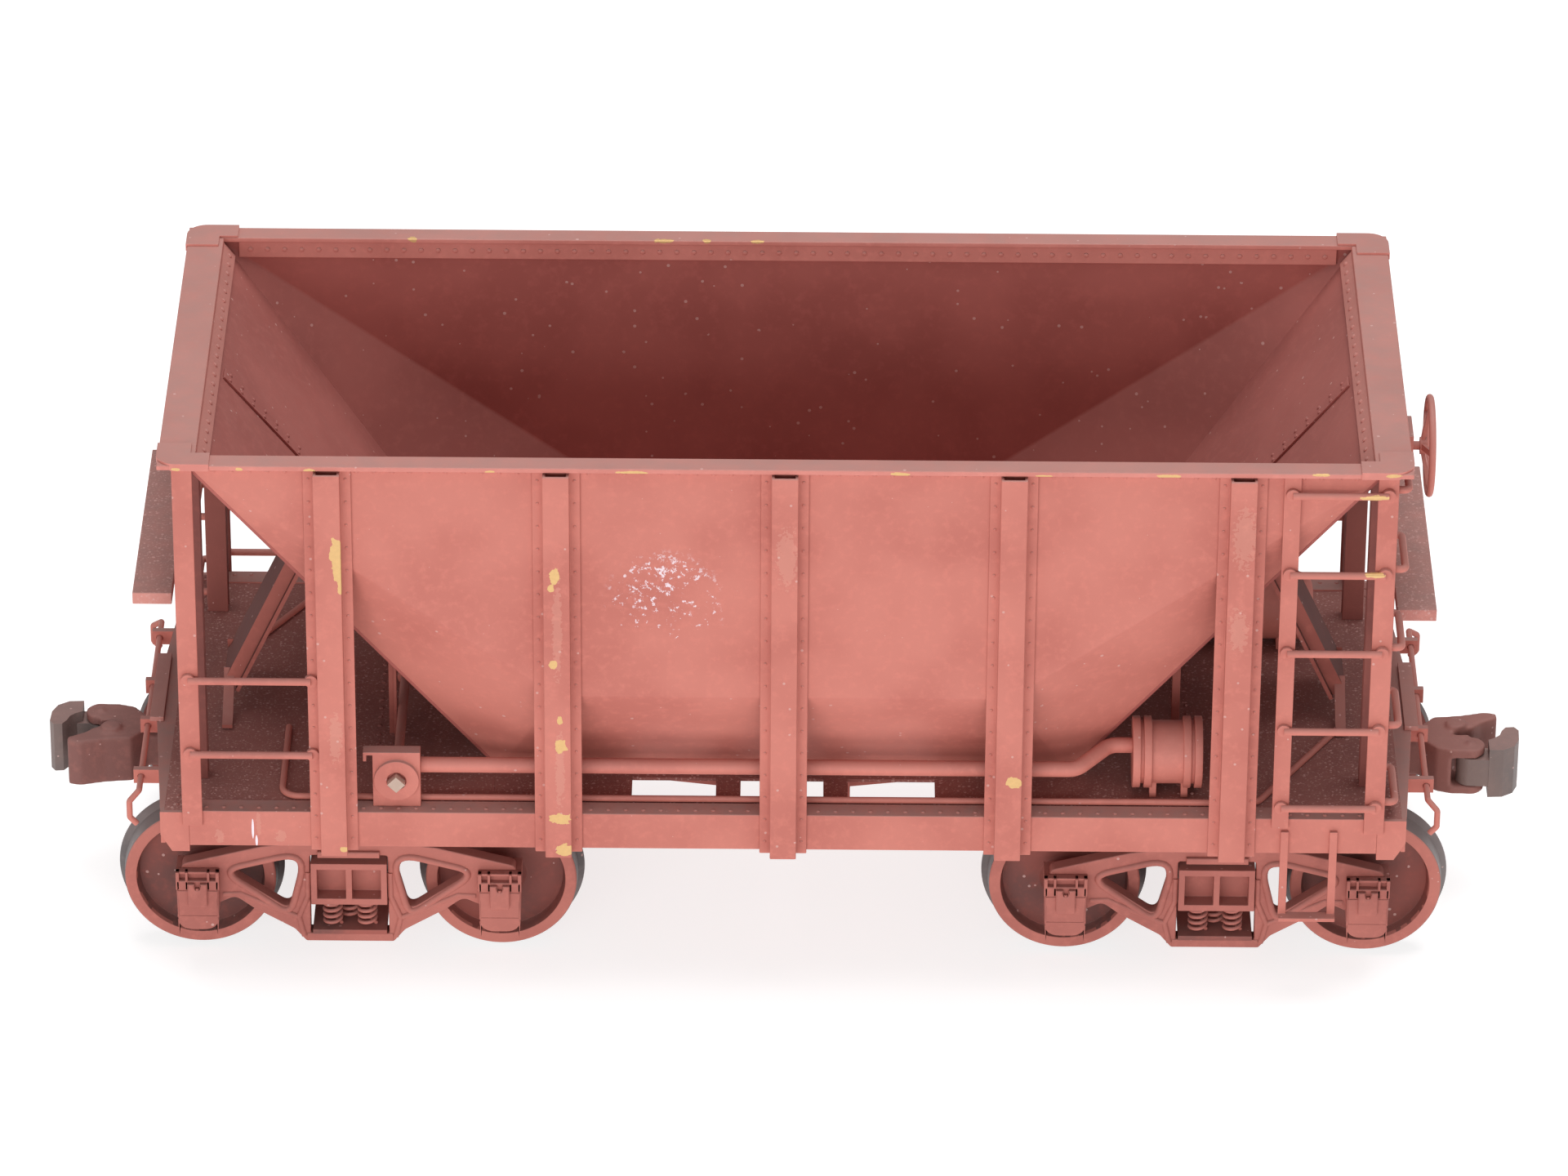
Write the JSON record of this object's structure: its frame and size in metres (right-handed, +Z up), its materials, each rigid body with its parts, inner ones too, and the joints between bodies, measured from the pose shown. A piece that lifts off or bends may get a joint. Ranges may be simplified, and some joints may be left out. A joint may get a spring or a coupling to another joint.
{
  "type": "ore hopper car",
  "caption": "Model railway ore hopper car: riveted open-top hopper on a deck frame with ladders, couplers, hand brake, drop doors and two sprung trucks.",
  "frame": {"origin": "on the floor under the middle of the car, between the wheel flanges", "axes": "+X along the car towards the hand-brake end, +Z up, front is -Y"},
  "size_m": [0.1724, 0.059, 0.0703],
  "materials": {
    "body_paint": "matt oxide red paint over brass sheet",
    "hopper_lining_paint": "matt oxide red paint with dust",
    "dusty_deck_paint": "matt oxide red paint under grey-brown dust",
    "truck_paint": "matt oxide red paint, worn dark at corners",
    "wheel_steel": "painted faces, bare dark tread",
    "axle_steel": "dark turned steel",
    "coupler_paint": "rough cast, thin worn paint",
    "knuckle_metal": "bare cast metal, handled",
    "bare_brass": "brushed brass square, painted shank"
  },
  "bodies": {
    "car_body": {"slope_sheet_left": "hopper_lining_paint", "slope_sheet_right": "hopper_lining_paint", "side_sheet_front": "body_paint", "side_sheet_back": "body_paint", "slope_seam_straps": "hopper_lining_paint", "ridge_caps": "hopper_lining_paint", "top_chord_sides": "body_paint", "top_chord_ends": "body_paint", "rim_corner_caps": "body_paint", "side_posts": "body_paint", "corner_posts": "body_paint", "end_posts": "body_paint", "side_sills": "body_paint", "end_sills": "body_paint", "deck_ends": "dusty_deck_paint", "deck_walkways": "dusty_deck_paint", "centre_sill": "body_paint", "body_bolsters": "body_paint", "cross_ties": "body_paint", "outlet_frame": "body_paint", "slope_braces": "body_paint", "slope_stanchions": "body_paint", "side_ladders": "body_paint", "end_grab_irons": "body_paint", "end_boards": "dusty_deck_paint", "stirrup_steps": "body_paint", "brake_cylinder": "body_paint", "air_reservoir": "body_paint", "air_pipe": "body_paint", "train_line": "body_paint", "shaft_bearings": "body_paint", "draft_boxes": "body_paint", "buffer_plates": "dusty_deck_paint", "brake_housing": "body_paint"},
    "shaft": {"winding_shaft": "bare_brass"},
    "door_left": {"drop_door_left": "body_paint"},
    "door_right": {"drop_door_right": "body_paint"},
    "coupler_l": {"coupler_left": "coupler_paint"},
    "coupler_r": {"coupler_right": "coupler_paint"},
    "knuckle_l": {"knuckle_left": "knuckle_metal"},
    "knuckle_r": {"knuckle_right": "knuckle_metal"},
    "lever_l": {"uncoupling_lever_left": "body_paint"},
    "lever_r": {"uncoupling_lever_right": "body_paint"},
    "hand_brake": {"brake_wheel": "body_paint"},
    "bolster_l": {"truck_bolster_left": "truck_paint"},
    "bolster_r": {"truck_bolster_right": "truck_paint"},
    "truck_l": {"side_frames_left": "truck_paint", "spring_plank_left": "truck_paint", "springs_left": "truck_paint"},
    "truck_r": {"side_frames_right": "truck_paint", "spring_plank_right": "truck_paint", "springs_right": "truck_paint"},
    "wheelset_1": {"wheels_1": "wheel_steel", "axle_1": "axle_steel"},
    "wheelset_2": {"wheels_2": "wheel_steel", "axle_2": "axle_steel"},
    "wheelset_3": {"wheels_3": "wheel_steel", "axle_3": "axle_steel"},
    "wheelset_4": {"wheels_4": "wheel_steel", "axle_4": "axle_steel"}
  },
  "joints": [
    {"name": "truck_left_swivel", "type": "hinge", "parent": "car_body", "child": "bolster_l", "pos_m": [-0.05016, 0, 0.0177], "axis": [0, 0, 1], "range_deg": [-3.5, 3.5]},
    {"name": "truck_left_springs", "type": "slide", "parent": "bolster_l", "child": "truck_l", "axis": [0, 0, 1], "range_m": [0, 0.0006], "stiffness_N_per_m": 4000, "springref_m": -0.0005, "deforming": ["springs_left"]},
    {"name": "coupler_left_swing", "type": "hinge", "parent": "car_body", "child": "coupler_l", "pos_m": [-0.064, 0, 0.0166], "axis": [0, 0, 1], "range_deg": [-10, 10]},
    {"name": "knuckle_left_open", "type": "hinge", "parent": "coupler_l", "child": "knuckle_l", "pos_m": [-0.0804, 0.0027, 0.0166], "axis": [0, 0, -1], "range_deg": [0, 40]},
    {"name": "uncoupling_lever_left_lift", "type": "hinge", "parent": "car_body", "child": "lever_l", "pos_m": [-0.0743, 0, 0.022], "axis": [0, 1, 0], "range_deg": [0, 60]},
    {"name": "truck_right_swivel", "type": "hinge", "parent": "car_body", "child": "bolster_r", "pos_m": [0.05016, 0, 0.0177], "axis": [0, 0, 1], "range_deg": [-3.5, 3.5]},
    {"name": "truck_right_springs", "type": "slide", "parent": "bolster_r", "child": "truck_r", "axis": [0, 0, 1], "range_m": [0, 0.0006], "stiffness_N_per_m": 4000, "springref_m": -0.0005, "deforming": ["springs_right"]},
    {"name": "coupler_right_swing", "type": "hinge", "parent": "car_body", "child": "coupler_r", "pos_m": [0.064, 0, 0.0166], "axis": [0, 0, 1], "range_deg": [-10, 10]},
    {"name": "knuckle_right_open", "type": "hinge", "parent": "coupler_r", "child": "knuckle_r", "pos_m": [0.0804, -0.0027, 0.0166], "axis": [0, 0, -1], "range_deg": [0, 40]},
    {"name": "uncoupling_lever_right_lift", "type": "hinge", "parent": "car_body", "child": "lever_r", "pos_m": [0.0743, 0, 0.022], "axis": [0, -1, 0], "range_deg": [0, 60]},
    {"name": "wheelset_1_roll", "type": "hinge", "parent": "truck_l", "child": "wheelset_1", "pos_m": [-0.06762, 0, 0.00963], "axis": [0, 1, 0], "continuous": true},
    {"name": "wheelset_2_roll", "type": "hinge", "parent": "truck_l", "child": "wheelset_2", "pos_m": [-0.0327, 0, 0.00963], "axis": [0, 1, 0], "continuous": true},
    {"name": "wheelset_3_roll", "type": "hinge", "parent": "truck_r", "child": "wheelset_3", "pos_m": [0.0327, 0, 0.00963], "axis": [0, 1, 0], "continuous": true},
    {"name": "wheelset_4_roll", "type": "hinge", "parent": "truck_r", "child": "wheelset_4", "pos_m": [0.06762, 0, 0.00963], "axis": [0, 1, 0], "continuous": true},
    {"name": "brake_wheel_turn", "type": "hinge", "parent": "car_body", "child": "hand_brake", "pos_m": [0.0735, -0.0075, 0.062], "axis": [1, 0, 0], "continuous": true},
    {"name": "winding_shaft_turn", "type": "hinge", "parent": "car_body", "child": "shaft", "pos_m": [-0.0442, 0, 0.0279], "axis": [0, 1, 0], "range_deg": [0, 140]},
    {"name": "door_left_drop", "type": "hinge", "parent": "car_body", "child": "door_left", "pos_m": [-0.0065, 0, 0.019], "axis": [0, -1, 0], "range_deg": [0, 35]},
    {"name": "door_right_drop", "type": "hinge", "parent": "car_body", "child": "door_right", "pos_m": [0.0065, 0, 0.019], "axis": [0, 1, 0], "range_deg": [0, 35]}
  ],
  "couplings": [
    {"joint": "door_left_drop", "follows": "winding_shaft_turn", "ratio": 0.25},
    {"joint": "door_right_drop", "follows": "winding_shaft_turn", "ratio": 0.25}
  ]
}
